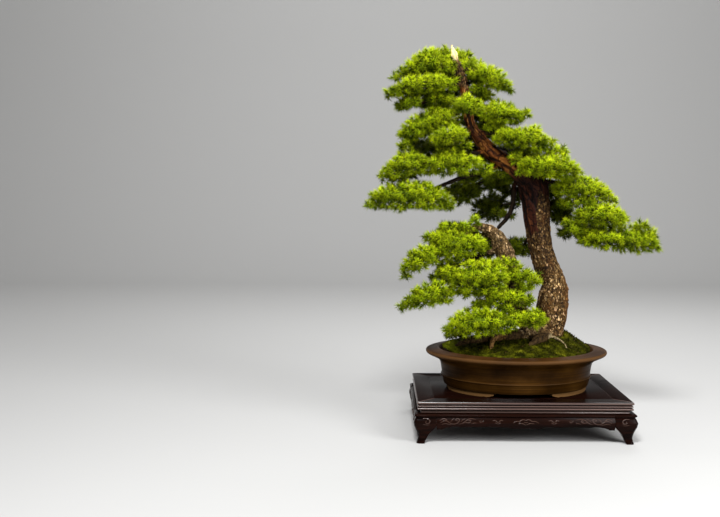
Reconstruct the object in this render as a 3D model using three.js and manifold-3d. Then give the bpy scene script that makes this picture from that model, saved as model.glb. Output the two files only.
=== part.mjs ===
// A mountain hemlock grown as a bonsai, in an oval clay pot on a carved hardwood stand.
// Millimetres, +Z up. The front is -Y. The origin is the middle of the bounding box's floor.
import * as THREE from 'three';
import Module from 'manifold-3d';
import { mergeVertices } from 'three/addons/utils/BufferGeometryUtils.js';

const wasm = await Module();
wasm.setup();

// Driving dimensions
const boardLength = 450;
const boardDepth = 320;
const standHeight = 88;
const potLength = 400;
const potDepth = 332;
const potHeight = 90;
const moundHeight = 28;
const needleLength = 11;
const clearance = 0.3;

// Levels measured from the surface that the stand rests on
const panelThickness = 6;
const rimLevel = standHeight + potHeight;
const footHeight = 8;
const potFloor = standHeight + footHeight + 11;
const ovalRatio = potDepth / potLength;

// Main trunk, from the root plug in the soil to the bare tip: x, y, z and thickness
const trunk = [
  [80, 0, 140, 50], [77, 0, 175, 66], [74, 0, 205, 63], [75, 0, 221, 60], [79, 0, 245, 65],
  [79, 0, 279, 73], [84, 0, 303, 62], [83, 2, 325, 53], [64, 6, 366, 56], [53, 10, 417, 51],
  [46, 14, 472, 60], [39, 14, 528, 68], [25, 10, 556, 64], [-6, 0, 575, 44], [-34, -10, 594, 37],
  [-61, -18, 611, 38], [-90, -26, 641, 30], [-107, -30, 665, 25], [-116, -34, 711, 23],
  [-121, -36, 750, 22], [-133, -38, 785, 17], [-142, -40, 810, 12], [-151, -42, 840, 3]
];

// Second trunk, grey and slimmer, which arches over to the left
const secondTrunk = [
  [45, -14, 165, 54], [36, -18, 200, 54], [29, -20, 226, 44], [10, -24, 253, 39], [-2, -26, 275, 37],
  [-13, -28, 324, 39], [-25, -30, 375, 42], [-36, -30, 403, 41], [-50, -32, 431, 33],
  [-76, -34, 446, 21], [-98, -38, 452, 10]
];

// Roots at the surface, and the dead branch that hangs behind the trunk
const roots = [
  [[66, -6, 212, 44], [30, -26, 212, 32], [-10, -38, 211, 25], [-45, -46, 208, 21], [-88, -52, 203, 18],
    [-120, -50, 197, 14], [-138, -42, 184, 10]],
  [[76, -5, 214, 46], [58, -34, 208, 32], [36, -62, 203, 22], [18, -80, 190, 13]],
  [[70, -12, 216, 16], [52, -27, 216, 9], [66, -38, 209, 7], [82, -45, 205, 6], [93, -55, 199, 6],
    [99, -69, 191, 5], [100, -80, 180, 4]],
  [[-30, -40, 212, 18], [-50, -62, 211, 14], [-61, -76, 202, 12], [-65, -84, 182, 10]],
  [[78, 10, 205, 40], [92, 38, 198, 24], [104, 62, 189, 14], [110, 72, 178, 8]]
];
const hangingBranch = [[14, 10, 556, 20], [-2, 22, 548, 13], [-3, 32, 520, 11], [-5, 41, 490, 10],
  [-15, 46, 466, 9], [-36, 50, 442, 7]];

// Pads of foliage. at: the middle; reach, deep and thick: half the length, depth and thickness;
// side: -1 leans left and 1 right; droop: degrees down at the outer end; stem and leaves: the trunk
// and the height where its branch leaves it; beyond: the pad that the branch goes on from instead
const pads = [
  { name: 'apex_left_top', at: [-202, -40, 791], reach: 63, deep: 54, thick: 42, side: -1, droop: 16,
    leaves: 768 },
  { name: 'apex_left_low', at: [-219, -64, 747], reach: 77, deep: 54, thick: 27, side: -1, droop: 11,
    leaves: 752 },
  { name: 'apex_left_under', at: [-240, -34, 710], reach: 36, deep: 38, thick: 18, side: -1, droop: 14,
    leaves: 722 },
  { name: 'apex_left_back', at: [-176, 50, 727], reach: 58, deep: 52, thick: 31, side: -1, droop: 8,
    leaves: 755 },
  { name: 'apex_right', at: [-77, -42, 767], reach: 63, deep: 54, thick: 31, side: 1, droop: 23,
    leaves: 788 },
  { name: 'apex_back', at: [-125, 48, 812], reach: 48, deep: 50, thick: 31, side: 1, droop: 10,
    leaves: 780 },
  { name: 'tier2_left', at: [-201, -36, 665], reach: 78, deep: 60, thick: 37, side: -1, droop: 22,
    leaves: 700 },
  { name: 'tier2_left_front', at: [-157, -90, 637], reach: 47, deep: 46, thick: 27, side: -1, droop: 10,
    leaves: 660 },
  { name: 'tier2_front', at: [-120, -104, 697], reach: 40, deep: 44, thick: 29, side: 1, droop: 2,
    leaves: 715 },
  { name: 'tier2_right', at: [-43, -36, 688], reach: 59, deep: 60, thick: 35, side: 1, droop: 11,
    leaves: 716 },
  { name: 'tier2_back', at: [-54, 62, 663], reach: 57, deep: 54, thick: 38, side: 1, droop: 15,
    leaves: 700 },
  { name: 'tier3_right', at: [2, -44, 635], reach: 81, deep: 60, thick: 37, side: 1, droop: 10,
    leaves: 652 },
  { name: 'tier3_back', at: [24, 68, 600], reach: 74, deep: 54, thick: 33, side: 1, droop: 18,
    leaves: 620 },
  { name: 'tier4_right', at: [61, -54, 574], reach: 79, deep: 60, thick: 36, side: 1, droop: 7,
    leaves: 590 },
  { name: 'right_upper', at: [138, -26, 524], reach: 75, deep: 58, thick: 36, side: 1, droop: 10,
    leaves: 550 },
  { name: 'right_inner', at: [102, 58, 474], reach: 38, deep: 50, thick: 35, side: 1, droop: 39,
    leaves: 535 },
  { name: 'right_mid', at: [175, -46, 468], reach: 73, deep: 56, thick: 33, side: 1, droop: 4,
    beyond: 'right_upper' },
  { name: 'right_tip', at: [216, -28, 417], reach: 98, deep: 60, thick: 39, side: 1, droop: 6,
    beyond: 'right_mid' },
  { name: 'right_back', at: [164, 64, 432], reach: 65, deep: 54, thick: 34, side: 1, droop: 14,
    beyond: 'right_upper' },
  { name: 'tier3_left_inner', at: [-147, -56, 581], reach: 72, deep: 60, thick: 40, side: -1, droop: 1,
    leaves: 615 },
  { name: 'tier3_left_outer', at: [-245, -38, 578], reach: 65, deep: 54, thick: 38, side: -1, droop: 14,
    beyond: 'tier3_left_inner' },
  { name: 'tier3_left_back', at: [-169, 66, 615], reach: 83, deep: 56, thick: 34, side: -1, droop: 2,
    leaves: 612 },
  { name: 'tier4_left', at: [-240, -34, 509], reach: 99, deep: 60, thick: 44, side: -1, droop: 1,
    leaves: 583 },
  { name: 'back_left', at: [-105, 92, 525], reach: 50, deep: 54, thick: 32, side: -1, droop: 5,
    leaves: 576 },
  { name: 'back_centre', at: [-45, 112, 485], reach: 54, deep: 54, thick: 48, side: -1, droop: 4,
    leaves: 545 },
  { name: 'back_upper', at: [-30, 84, 537], reach: 40, deep: 44, thick: 28, side: -1, droop: 2,
    leaves: 552 },
  { name: 'back_right', at: [26, 112, 390], reach: 33, deep: 38, thick: 24, side: 1, droop: 9,
    leaves: 440 },
  { name: 'second_top', at: [-140, -54, 406], reach: 77, deep: 58, thick: 43, side: -1, droop: 4,
    stem: 'second', leaves: 451 },
  { name: 'second_left', at: [-216, -78, 377], reach: 50, deep: 48, thick: 31, side: -1, droop: 34,
    beyond: 'second_top' },
  { name: 'second_mid', at: [-90, -98, 338], reach: 75, deep: 56, thick: 49, side: -1, droop: 2,
    stem: 'second', leaves: 375 },
  { name: 'second_mid_left', at: [-196, -86, 299], reach: 72, deep: 48, thick: 33, side: -1, droop: 19,
    beyond: 'second_mid' },
  { name: 'second_mid_right', at: [2, -78, 338], reach: 46, deep: 44, thick: 28, side: 1, droop: 17,
    stem: 'second', leaves: 345 },
  { name: 'second_low', at: [-80, -102, 244], reach: 96, deep: 54, thick: 40, side: -1, droop: 5,
    stem: 'second', leaves: 290 },
  { name: 'second_low_top', at: [-39, -94, 296], reach: 59, deep: 48, thick: 33, side: 1, droop: -1,
    stem: 'second', leaves: 310 },
  { name: 'second_low_right', at: [17, -94, 252], reach: 41, deep: 44, thick: 30, side: 1, droop: 11,
    stem: 'second', leaves: 270 },
  { name: 'second_back', at: [-134, 32, 422], reach: 63, deep: 50, thick: 39, side: -1, droop: 8,
    stem: 'second', leaves: 425 },
  { name: 'second_inner', at: [-152, -20, 349], reach: 35, deep: 40, thick: 29, side: -1, droop: 6,
    stem: 'second', leaves: 400 }
];

// Sprays of needles
const shootRadius = 3;
const shootHeight = 5;
const spraySpacing = 64;
const coreInset = 9;

// Materials
const finish = (colour, roughness) =>
  new THREE.MeshStandardMaterial({ color: colour, roughness: roughness, metalness: 0 });
const barkFinish = () => finish('#6b543d', 0.9);
const litFoliageFinish = () => finish('#86981f', 0.75);
const shadedFoliageFinish = () => finish('#4f6318', 0.8);
const mossFinish = () => finish('#4d5516', 0.95);
const soilFinish = () => finish('#3b2c1f', 1);
const clayFinish = () => finish('#4a3019', 0.55);
const screenFinish = () => finish('#202020', 0.6);
const rosewoodFinish = () => finish('#2a0c07', 0.3);

// Seeded random numbers, the same at every run
let seed = 20;
function random() {
  seed = (seed * 16807) % 2147483647;
  return seed / 2147483647;
}

// Welded copy of a geometry that holds positions only, without the flat triangles on a lathe's axis
function welded(geometry) {
  geometry.deleteAttribute('normal');
  geometry.deleteAttribute('uv');
  const shape = mergeVertices(geometry);
  const corners = Array.from(shape.index.array);
  const kept = [];
  for (let i = 0; i < corners.length; i += 3) {
    const [a, b, c] = corners.slice(i, i + 3);
    if (a !== b && b !== c && c !== a) kept.push(a, b, c);
  }
  return shape.setIndex(kept);
}

function solidOf(geometry) {
  const shape = welded(geometry);
  return new wasm.Manifold(new wasm.Mesh({
    numProp: 3,
    vertProperties: Float32Array.from(shape.attributes.position.array),
    triVerts: Uint32Array.from(shape.index.array)
  }));
}

function geometryOf(solid) {
  const mesh = solid.getMesh();
  const geometry = new THREE.BufferGeometry();
  geometry.setAttribute('position', new THREE.BufferAttribute(mesh.vertProperties, 3));
  geometry.setIndex(new THREE.BufferAttribute(mesh.triVerts, 1));
  return geometry;
}

// The biggest body of a solid; what a cut has parted from it falls away
function mainBody(solid) {
  return solid.decompose().reduce((kept, body) => (body.volume() > kept.volume() ? body : kept));
}

// Moves every vertex of a geometry to where the function sends it
function reshape(geometry, place) {
  const shape = welded(geometry);
  const position = shape.attributes.position;
  const point = new THREE.Vector3();
  for (let i = 0; i < position.count; i += 1) {
    place(point.fromBufferAttribute(position, i));
    position.setXYZ(i, point.x, point.y, point.z);
  }
  return shape;
}

// A limb: a cylinder whose rings are laid along a curve and given the wood's thickness there
function limb(stations, sides, steps, grow, ripple = 0) {
  const line = new THREE.CatmullRomCurve3(stations.map(([x, y, z]) => new THREE.Vector3(x, y, z)));
  const rings = [];
  const side = new THREE.Vector3(0, 1, 0);
  for (let i = 0; i <= steps; i += 1) {
    const along = (i / steps) * (stations.length - 1);
    const before = Math.min(Math.floor(along), stations.length - 2);
    const thickness = THREE.MathUtils.lerp(stations[before][3], stations[before + 1][3], along - before);
    const tangent = line.getTangent(i / steps);
    side.addScaledVector(tangent, -side.dot(tangent)).normalize();
    const middle = line.getPoint(i / steps);
    if (i === 0) middle.addScaledVector(tangent, -grow);
    if (i === steps) middle.addScaledVector(tangent, grow);
    const up = new THREE.Vector3().crossVectors(side, tangent);
    rings.push({ middle: middle, side: side.clone(), up: up, radius: thickness / 2 + grow });
  }
  return solidOf(reshape(new THREE.CylinderGeometry(1, 1, 1, sides, steps), (point) => {
    const row = Math.round((point.y + 0.5) * steps);
    const ring = rings[row];
    const angle = Math.atan2(point.z, point.x);
    const flute = 1 + ripple * (Math.sin(3 * angle + row * 0.5) + 0.6 * Math.sin(5 * angle - row * 0.8));
    const x = point.x * ring.radius * flute;
    const z = point.z * ring.radius * flute;
    point.copy(ring.middle).addScaledVector(ring.side, x).addScaledVector(ring.up, z);
  }));
}

// Point on a trunk's middle line at a height
function pointOnTrunk(stations, height) {
  const above = stations.findIndex((station) => station[2] > height);
  const low = stations[above - 1];
  const high = stations[above];
  const share = (height - low[2]) / (high[2] - low[2]);
  return low.slice(0, 3).map((value, axis) => THREE.MathUtils.lerp(value, high[axis], share));
}

// The branch that carries a pad: it rises a little, then settles into the pad's middle
function branch(pad, grow) {
  const start = pad.beyond
    ? pads.find((other) => other.name === pad.beyond).at
    : pointOnTrunk(pad.stem === 'second' ? secondTrunk : trunk, pad.leaves);
  const thick = pad.beyond ? 9 : 14;
  const end = [pad.at[0] + pad.side * pad.reach * 0.3, pad.at[1], pad.at[2] - 3];
  const middle = start.map((value, axis) => THREE.MathUtils.lerp(value, pad.at[axis], 0.5));
  middle[2] += 8;
  return limb([[...start, thick], [...middle, thick * 0.75], [...pad.at, 6], [...end, 4]], 4, 3, grow);
}

// The whole tree above and below the soil, grown as one piece; grow makes room around it
function wood(grow) {
  const limbs = [
    limb(trunk, 10, 28, grow, 0.05),
    limb(secondTrunk, 8, 14, grow, 0.05),
    limb(hangingBranch, 5, 7, grow),
    ...roots.map((root) => limb(root, 5, root.length + 2, grow)),
    ...pads.map((pad) => branch(pad, grow))
  ];
  return limbs.reduce((whole, part) => whole.add(part));
}

// The pad's frame: its outer end, its front and its top, turned down by the droop
function padFrame(pad) {
  const droop = THREE.MathUtils.degToRad(pad.droop);
  const out = new THREE.Vector3(pad.side * Math.cos(droop), 0, -Math.sin(droop));
  const top = new THREE.Vector3(pad.side * Math.sin(droop), 0, Math.cos(droop));
  const front = new THREE.Vector3().crossVectors(top, out);
  return new THREE.Matrix4().makeBasis(out, front, top).setPosition(...pad.at);
}

// The leafy core of a pad: a flat-bottomed dome, a little smaller than the pad
const domeProfile = [[0, -0.7], [0.8, -0.6], [1, -0.1], [0.8, 0.62], [0, 1]];
function dome(pad, grow) {
  const size = new THREE.Vector3(pad.reach, pad.deep, pad.thick).addScalar(grow - coreInset);
  const sides = Math.max(5, Math.round((Math.PI * (size.x + size.y)) / spraySpacing));
  const profile = domeProfile.map(([x, z]) => new THREE.Vector2(x, z));
  const lathe = new THREE.LatheGeometry(profile, sides).rotateX(Math.PI / 2).rotateZ(pad.at[1]);
  const frame = padFrame(pad);
  return reshape(lathe, (point) => point.multiply(size).applyMatrix4(frame));
}

// Triangles of a spray on the face a, b, c: a slim eight-faced shoot stands on the face, with each of
// its free faces drawn out into a needle
function spray([a, b, c], aim, length) {
  const foot = new THREE.Vector3().add(a).add(b).add(c).divideScalar(3);
  const heart = foot.clone().addScaledVector(aim, shootHeight / 2);
  const low = [a, b, c].map((corner) => corner.clone().sub(foot).setLength(shootRadius).add(foot));
  const high = low.map((corner) => heart.clone().multiplyScalar(2).sub(corner));
  const skirt = [
    a, b, low[1], a, low[1], low[0], b, c, low[2], b, low[2], low[1], c, a, low[0], c, low[0], low[2]
  ];
  const faces = [
    [low[0], low[1], high[2]], [low[1], high[0], high[2]], [low[1], low[2], high[0]],
    [low[2], high[1], high[0]], [low[2], low[0], high[1]], [low[0], high[2], high[1]], high
  ];
  const needles = faces.flatMap(([p, q, r]) => {
    const middle = new THREE.Vector3().add(p).add(q).add(r).divideScalar(3);
    const lean = middle.clone().sub(heart).normalize().addScaledVector(aim, 0.4).normalize();
    const tip = middle.addScaledVector(lean, length);
    return [p, q, tip, q, r, tip, r, p, tip];
  });
  return { skirt: skirt, needles: needles, base: [low[2], low[1], low[0]] };
}

// The faces of a dome that carry a spray: one above the rim on each side, and every other one on top.
// Each side of the dome has six faces: one below, four on its flank and one on top
function carriesSpray(face) {
  return face % 6 === 3 || face % 12 === 5;
}

// Foliage: domes with sprays, where a spray stands clear of the wood and of the other pads
function foliage(roomForWood) {
  const rooms = pads.map((pad) => solidOf(dome(pad, 1)));
  const placed = [];
  return pads.map((pad, index) => {
    const others = rooms.filter((room, other) => other !== index);
    const corner = dome(pad, 0).toNonIndexed().attributes.position;
    const lift = new THREE.Vector3(0, 0, 1).transformDirection(padFrame(pad));
    const drawn = [];
    for (let i = 0; i < corner.count; i += 3) {
      const face = [0, 1, 2].map((step) => new THREE.Vector3().fromBufferAttribute(corner, i + step));
      const aim = new THREE.Triangle(...face).getNormal(new THREE.Vector3());
      aim.addScaledVector(lift, i % 2 ? 0.2 : -0.5).normalize();
      const { skirt, needles, base } = spray(face, aim, needleLength * (0.9 + 0.25 * random()));
      const solid = solidOf(new THREE.BufferGeometry().setFromPoints([...needles, ...base]));
      const near = [roomForWood, ...others, ...placed].filter((other) => touches(other, solid));
      const clear = near.every((other) => solid.intersect(other).isEmpty());
      if (carriesSpray(i / 3) && clear) {
        placed.push(solid);
        drawn.push(...skirt, ...needles);
      } else {
        drawn.push(...face);
      }
    }
    const whole = solidOf(new THREE.BufferGeometry().setFromPoints(drawn)).subtract(roomForWood);
    const earlier = rooms.slice(0, index).filter((room) => touches(room, rooms[index]));
    return mainBody(earlier.reduce((rest, room) => rest.subtract(room), whole));
  });
}

// Whether the boxes round two solids meet
function touches(first, second) {
  const a = first.boundingBox();
  const b = second.boundingBox();
  return [0, 1, 2].every((axis) => a.min[axis] < b.max[axis] && b.min[axis] < a.max[axis]);
}

// Ovals: a lathe profile of half-lengths and heights, drawn in across its depth
function oval(profile, segments) {
  const lathe = new THREE.LatheGeometry(profile.map(([x, z]) => new THREE.Vector2(x, z)), segments);
  lathe.rotateX(Math.PI / 2);
  return lathe.scale(1, ovalRatio, 1);
}

function cylinderAt(x, y, bottom, top, radius, segments) {
  const geometry = new THREE.CylinderGeometry(radius, radius, top - bottom, segments);
  return geometry.rotateX(Math.PI / 2).translate(x, y, (bottom + top) / 2);
}

// The pot: a broad lip that falls a little outwards, on a body that narrows to the foot, with one
// raised line
const potInside = [[168, 172], [160, 160], [155, 140], [148, potFloor + 6], [140, potFloor]];
const lineLevel = 118;
const drainSpacing = 110;
const drainRadius = 15;
function pot() {
  const base = standHeight + clearance + footHeight;
  const half = potLength / 2;
  const outside = [
    [0, base], [156, base], [160, base + 3], [161.5, base + 9], [163.5, lineLevel - 1], [166, lineLevel],
    [165, lineLevel + 3], [167, 142], [171, 152], [186, 161], [half - 3, 166], [half, 170],
    [half - 1, 174], [190, 176], [175, rimLevel], [170, 176.5]
  ];
  let shape = solidOf(oval([...outside, ...potInside, [0, potFloor]], 32));
  for (const x of [-drainSpacing / 2, drainSpacing / 2]) {
    const drain = new THREE.CylinderGeometry(drainRadius, drainRadius, 3 * footHeight, 16);
    shape = shape.subtract(solidOf(drain.rotateX(Math.PI / 2).translate(x, 0, potFloor - footHeight)));
  }
  return potFeet().reduce((whole, foot) => whole.add(foot), shape);
}

// Four feet under the pot's edge, with openings between them at the front, back and both ends
function potFeet() {
  const arc = (reach) => new THREE.EllipseCurve(0, 0, reach, reach * ovalRatio, 0.16, 1.16).getPoints(8);
  const outline = [...arc(155), ...arc(131).reverse()];
  const options = { depth: footHeight + 3, bevelEnabled: false };
  return [[1, 1], [-1, 1], [-1, -1], [1, -1]].map(([mirrorX, mirrorY]) => {
    const edge = outline.map((point) => new THREE.Vector2(point.x * mirrorX, point.y * mirrorY));
    return solidOf(new THREE.ExtrudeGeometry(new THREE.Shape(edge), options)
      .translate(0, 0, standHeight + clearance));
  });
}

// Square net over a drain hole, with nine openings
const screenThickness = 1.2;
const screenHalf = 21;
function drainScreen(x) {
  const bar = 3;
  const opening = (2 * screenHalf - 4 * bar) / 3;
  let net = solidOf(new THREE.BoxGeometry(2 * screenHalf, 2 * screenHalf, screenThickness));
  for (const column of [-1, 0, 1]) {
    for (const row of [-1, 0, 1]) {
      const hole = new THREE.BoxGeometry(opening, opening, 3 * screenThickness);
      hole.translate(column * (opening + bar), row * (opening + bar), 0);
      net = net.subtract(solidOf(hole));
    }
  }
  return geometryOf(net).translate(x, 0, potFloor + clearance + screenThickness / 2);
}

// Height of the mossy ground, a mound with a hill beside the trunk and a knob at the left end
const bedEdge = 164.5;
const moundSlope = 2.2;
const hill = { x: 92, y: 8, rise: 18, wide: 50, deep: 60 };
const knob = { x: -148, y: -20, rise: 14, wide: 20, deep: 40 };
function riseOf(spot, x, y) {
  return spot.rise * Math.exp(-(((x - spot.x) / spot.wide) ** 2) - ((y - spot.y) / spot.deep) ** 2);
}

function ground(x, y) {
  const out = Math.min(1, Math.hypot(x / bedEdge, y / (bedEdge * ovalRatio)));
  const mound = moundHeight * (1 - out ** moundSlope) + riseOf(hill, x, y) + riseOf(knob, x, y);
  const lumps = 2.6 * Math.sin(0.061 * x + 1) * Math.cos(0.083 * y) + 1.6 * Math.sin(0.13 * x - 0.11 * y);
  return rimLevel - 2 + mound + lumps * (1 - out ** 3);
}

// An oval bed whose profile points near the level onGround are then set that far below the ground
const onGround = 1000;
const bedSides = 24;
function bed(profile) {
  return reshape(oval(profile, bedSides), (point) => {
    if (point.z > onGround / 2) point.z += ground(point.x, point.y) - onGround;
  });
}

const bedRings = [0, 0.4, 0.7, 0.9, 1];
const mossThickness = 7;
function mossLayer(thickness, rings) {
  const under = rings.map((share) => [share * bedEdge, onGround - thickness]);
  const over = rings.map((share) => [share * bedEdge, onGround]).reverse();
  return solidOf(bed([...under, ...over]));
}

function moss(roomForWood) {
  return mainBody(mossLayer(mossThickness, bedRings).subtract(roomForWood));
}

// The soil fills the pot under the moss, with a hole for the roots and a hollow for each net
function soil(roomForWood) {
  const side = potInside.slice(1).map(([x, z]) => [x - 1, z + clearance]).reverse();
  const over = [[bedEdge, onGround - mossThickness / 2], [0, onGround - mossThickness / 2]];
  const roomForMoss = mossLayer(mossThickness + clearance, [...bedRings, 1.04]);
  let shape = solidOf(bed([[0, potFloor + clearance], ...side, ...over]));
  shape = shape.subtract(roomForMoss).subtract(roomForWood);
  const size = 2 * (screenHalf + clearance);
  for (const x of [-drainSpacing / 2, drainSpacing / 2]) {
    const hollow = new THREE.BoxGeometry(size, size, 4 * screenThickness);
    shape = shape.subtract(solidOf(hollow.translate(x, 0, potFloor)));
  }
  return mainBody(shape);
}

// A moulding along one edge of the stand. The profile gives distances out from the board's edge and
// heights; endAt says how far each line of it runs from the middle
function moulding(profile, edgeDistance, endAt) {
  const outline = new THREE.Shape(profile.map(([out, height]) => new THREE.Vector2(out, height)));
  const bar = new THREE.ExtrudeGeometry(outline, { depth: 1, bevelEnabled: false });
  return reshape(bar, (point) => {
    const end = endAt(point.x);
    point.set(point.z < 0.5 ? end : -end, -edgeDistance - point.x, point.y);
  });
}

// The four sides of the stand: the turn that faces each one, its half-length and its distance
const standSides = [
  { name: 'front', turn: 0, half: boardLength / 2, away: boardDepth / 2 },
  { name: 'right', turn: Math.PI / 2, half: boardDepth / 2, away: boardLength / 2 },
  { name: 'back', turn: Math.PI, half: boardLength / 2, away: boardDepth / 2 },
  { name: 'left', turn: -Math.PI / 2, half: boardDepth / 2, away: boardLength / 2 }
];

const frameWidth = 46;
const waistTop = standHeight - panelThickness;
const waistBottom = 64;
const legInset = 40;
const stepWidth = 10;
const stepHeight = 2.5;

// Mitred rail of the top frame, with a step that carries the panel
function frameRail({ half, away }) {
  const profile = [
    [-frameWidth, waistTop], [-1.5, waistTop], [0, waistTop + 1.5], [0, standHeight - 1.5],
    [-1.5, standHeight], [stepWidth - frameWidth, standHeight],
    [stepWidth - frameWidth, waistTop + stepHeight], [-frameWidth, waistTop + stepHeight]
  ];
  return moulding(profile, away, (out) => half + out - clearance / 2);
}

// Mitred rail of the waist: two beads above a hollow
function waistRail({ half, away }) {
  const top = waistTop - clearance;
  const profile = [
    [-22, waistBottom], [-7, waistBottom], [-9, 67], [-6, 70], [-1.5, 71], [-0.5, 73], [-1.5, 74.7],
    [-5, 75.2], [-5, 76.8], [-2, 77.3], [-1, 78.5], [-2, 79.7], [-6, 80.2], [-6, top], [-22, top]
  ];
  return moulding(profile, away, (out) => half + out - clearance / 2);
}

// Apron: a rounded shoulder over a swelling face whose lower edge is cut to a shallow cloud outline
const apronProfile = [
  [1, 63.5], [5, 61.5], [5.5, 59], [3, 57], [1.5, 56.5], [4.5, 52], [6.5, 45], [5, 37], [2, 30]
];
function apron({ half, away }) {
  const run = half - legInset - clearance;
  const profile = [[-16, 30], [-16, waistBottom - clearance], ...apronProfile];
  const edge = new THREE.Shape();
  edge.moveTo(-run + 12, 20);
  edge.lineTo(-run + 12, 31);
  edge.quadraticCurveTo(-run + 30, 40, -run + 52, 36);
  edge.quadraticCurveTo(-0.2 * run, 39, -0.16 * run, 33);
  edge.lineTo(0.16 * run, 33);
  edge.quadraticCurveTo(0.2 * run, 39, run - 52, 36);
  edge.quadraticCurveTo(run - 30, 40, run - 12, 31);
  edge.lineTo(run - 12, 20);
  const cut = new THREE.ExtrudeGeometry(edge, { depth: 60, curveSegments: 4, bevelEnabled: false });
  cut.rotateX(Math.PI / 2).translate(0, 30 - away, 0);
  return geometryOf(solidOf(moulding(profile, away, () => run)).subtract(solidOf(cut)));
}

// Leg at a corner: it goes on the apron's face, sweeps in to a slim ankle and ends in a small foot.
// Each row: height, distance out from the board's edge, distance in from it
const legRows = [
  [0, 1.5, 15], [5, -0.5, 17], [12, -2, 20], [22, 0, 26], [30, 3, 34], [37, 6, 39.5], [45, 7.5, legInset],
  [52, 5, legInset], [56.5, 2, legInset], [57, 3.5, legInset], [59, 6, legInset], [61.5, 5.5, legInset],
  [63.5, 1.5, legInset]
];
function leg(signX, signY) {
  const chamfer = 4;
  const rows = legRows.length - 1;
  return reshape(new THREE.CylinderGeometry(1, 1, rows, 5, rows), (point) => {
    const [height, out, inside] = legRows[Math.round(point.y + rows / 2)];
    const edge = out - chamfer;
    const corners = [[-inside, -inside], [-inside, out], [edge, out], [out, edge], [out, -inside]];
    if (signX * signY < 0) corners.reverse();
    const fifth = Math.round(Math.atan2(point.z, point.x) / (0.4 * Math.PI));
    const inMiddle = Math.hypot(point.x, point.z) < 0.5;
    const middle = (out - inside) / 2;
    const [x, y] = inMiddle ? [middle, middle] : corners[(fifth + 5) % 5];
    point.set(signX * (boardLength / 2 + x), signY * (boardDepth / 2 + y), height);
  });
}

// Panel that fills the frame, just under the level of its rails, and carries the pot
function topPanel() {
  const inset = 2 * (frameWidth - stepWidth + clearance);
  const bottom = waistTop + stepHeight + clearance;
  const top = standHeight - clearance;
  const panel = new THREE.BoxGeometry(boardLength - inset, boardDepth - inset, top - bottom);
  return panel.translate(0, 0, (bottom + top) / 2);
}

const tree = new THREE.Group();
const stand = new THREE.Group();
const bonsai = new THREE.Group();
bonsai.add(tree, stand);

function place(parent, name, geometry, material) {
  const mesh = new THREE.Mesh(geometry, material);
  mesh.name = name;
  parent.add(mesh);
}

const roomForWood = wood(clearance + 0.15);
place(tree, 'tree_wood', geometryOf(wood(0)), barkFinish());
foliage(roomForWood).forEach((solid, index) => {
  const { name, at } = pads[index];
  const finishOfPad = at[1] < 0 ? litFoliageFinish() : shadedFoliageFinish();
  place(tree, `foliage_${name}`, geometryOf(solid), finishOfPad);
});
place(tree, 'moss', geometryOf(moss(roomForWood)), mossFinish());
place(tree, 'soil', geometryOf(soil(roomForWood)), soilFinish());
place(tree, 'pot', geometryOf(pot()), clayFinish());
place(tree, 'drain_screen_left', drainScreen(-drainSpacing / 2), screenFinish());
place(tree, 'drain_screen_right', drainScreen(drainSpacing / 2), screenFinish());

for (const side of standSides) {
  const pieces = { frame_rail: frameRail(side), waist_rail: waistRail(side), apron: apron(side) };
  for (const [name, geometry] of Object.entries(pieces)) {
    place(stand, `${name}_${side.name}`, geometry.rotateZ(side.turn), rosewoodFinish());
  }
}
for (const [name, signX, signY] of [
  ['front_left', -1, -1], ['front_right', 1, -1], ['back_right', 1, 1], ['back_left', -1, 1]
]) {
  place(stand, `leg_${name}`, leg(signX, signY), rosewoodFinish());
}
place(stand, 'top_panel', topPanel(), rosewoodFinish());

// The origin goes to the middle of the bounding box's floor
const box = new THREE.Box3().setFromObject(bonsai);
bonsai.position.set(-(box.min.x + box.max.x) / 2, -(box.min.y + box.max.y) / 2, -box.min.z);

export default bonsai;
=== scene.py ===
import bpy
import math
import numpy as np
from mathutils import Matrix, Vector, noise


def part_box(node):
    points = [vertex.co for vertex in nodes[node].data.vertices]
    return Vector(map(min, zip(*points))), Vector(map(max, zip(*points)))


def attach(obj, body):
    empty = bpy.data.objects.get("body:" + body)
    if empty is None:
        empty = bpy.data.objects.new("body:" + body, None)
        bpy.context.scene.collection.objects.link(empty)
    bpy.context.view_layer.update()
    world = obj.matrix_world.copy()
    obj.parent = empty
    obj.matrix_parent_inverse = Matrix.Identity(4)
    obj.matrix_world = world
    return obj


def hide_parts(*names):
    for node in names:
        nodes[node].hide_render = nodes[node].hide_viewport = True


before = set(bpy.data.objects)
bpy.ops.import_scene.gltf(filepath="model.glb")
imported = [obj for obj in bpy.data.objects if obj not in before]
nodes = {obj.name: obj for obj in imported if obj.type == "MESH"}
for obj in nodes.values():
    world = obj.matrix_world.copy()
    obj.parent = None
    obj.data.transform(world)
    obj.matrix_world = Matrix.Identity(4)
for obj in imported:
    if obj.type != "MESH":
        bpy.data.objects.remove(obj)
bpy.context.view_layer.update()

# The stand's own middle places the camera and everything that is measured from it
standX = (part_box("leg_front_left")[0][0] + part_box("leg_back_right")[1][0]) / 2
outwards = ("normals_make_consistent", {"inside": False})
triangles = ("quads_convert_to_tris", {})
anyTurn = 6.28


def deselectAll():
    if bpy.context.object and bpy.context.object.mode != "OBJECT":
        bpy.ops.object.mode_set(mode="OBJECT")
    bpy.ops.object.select_all(action="DESELECT")


def setAll(thing, **settings):
    for key, value in settings.items():
        setattr(thing, key, value)
    return thing


def makeActive(piece, others=()):
    deselectAll()
    for each in (piece, *others):
        each.select_set(True)
    bpy.context.view_layer.objects.active = piece


def added(primitive, **settings):
    deselectAll()
    getattr(bpy.ops.mesh, "primitive_" + primitive + "_add")(**settings)
    return bpy.context.object


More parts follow.
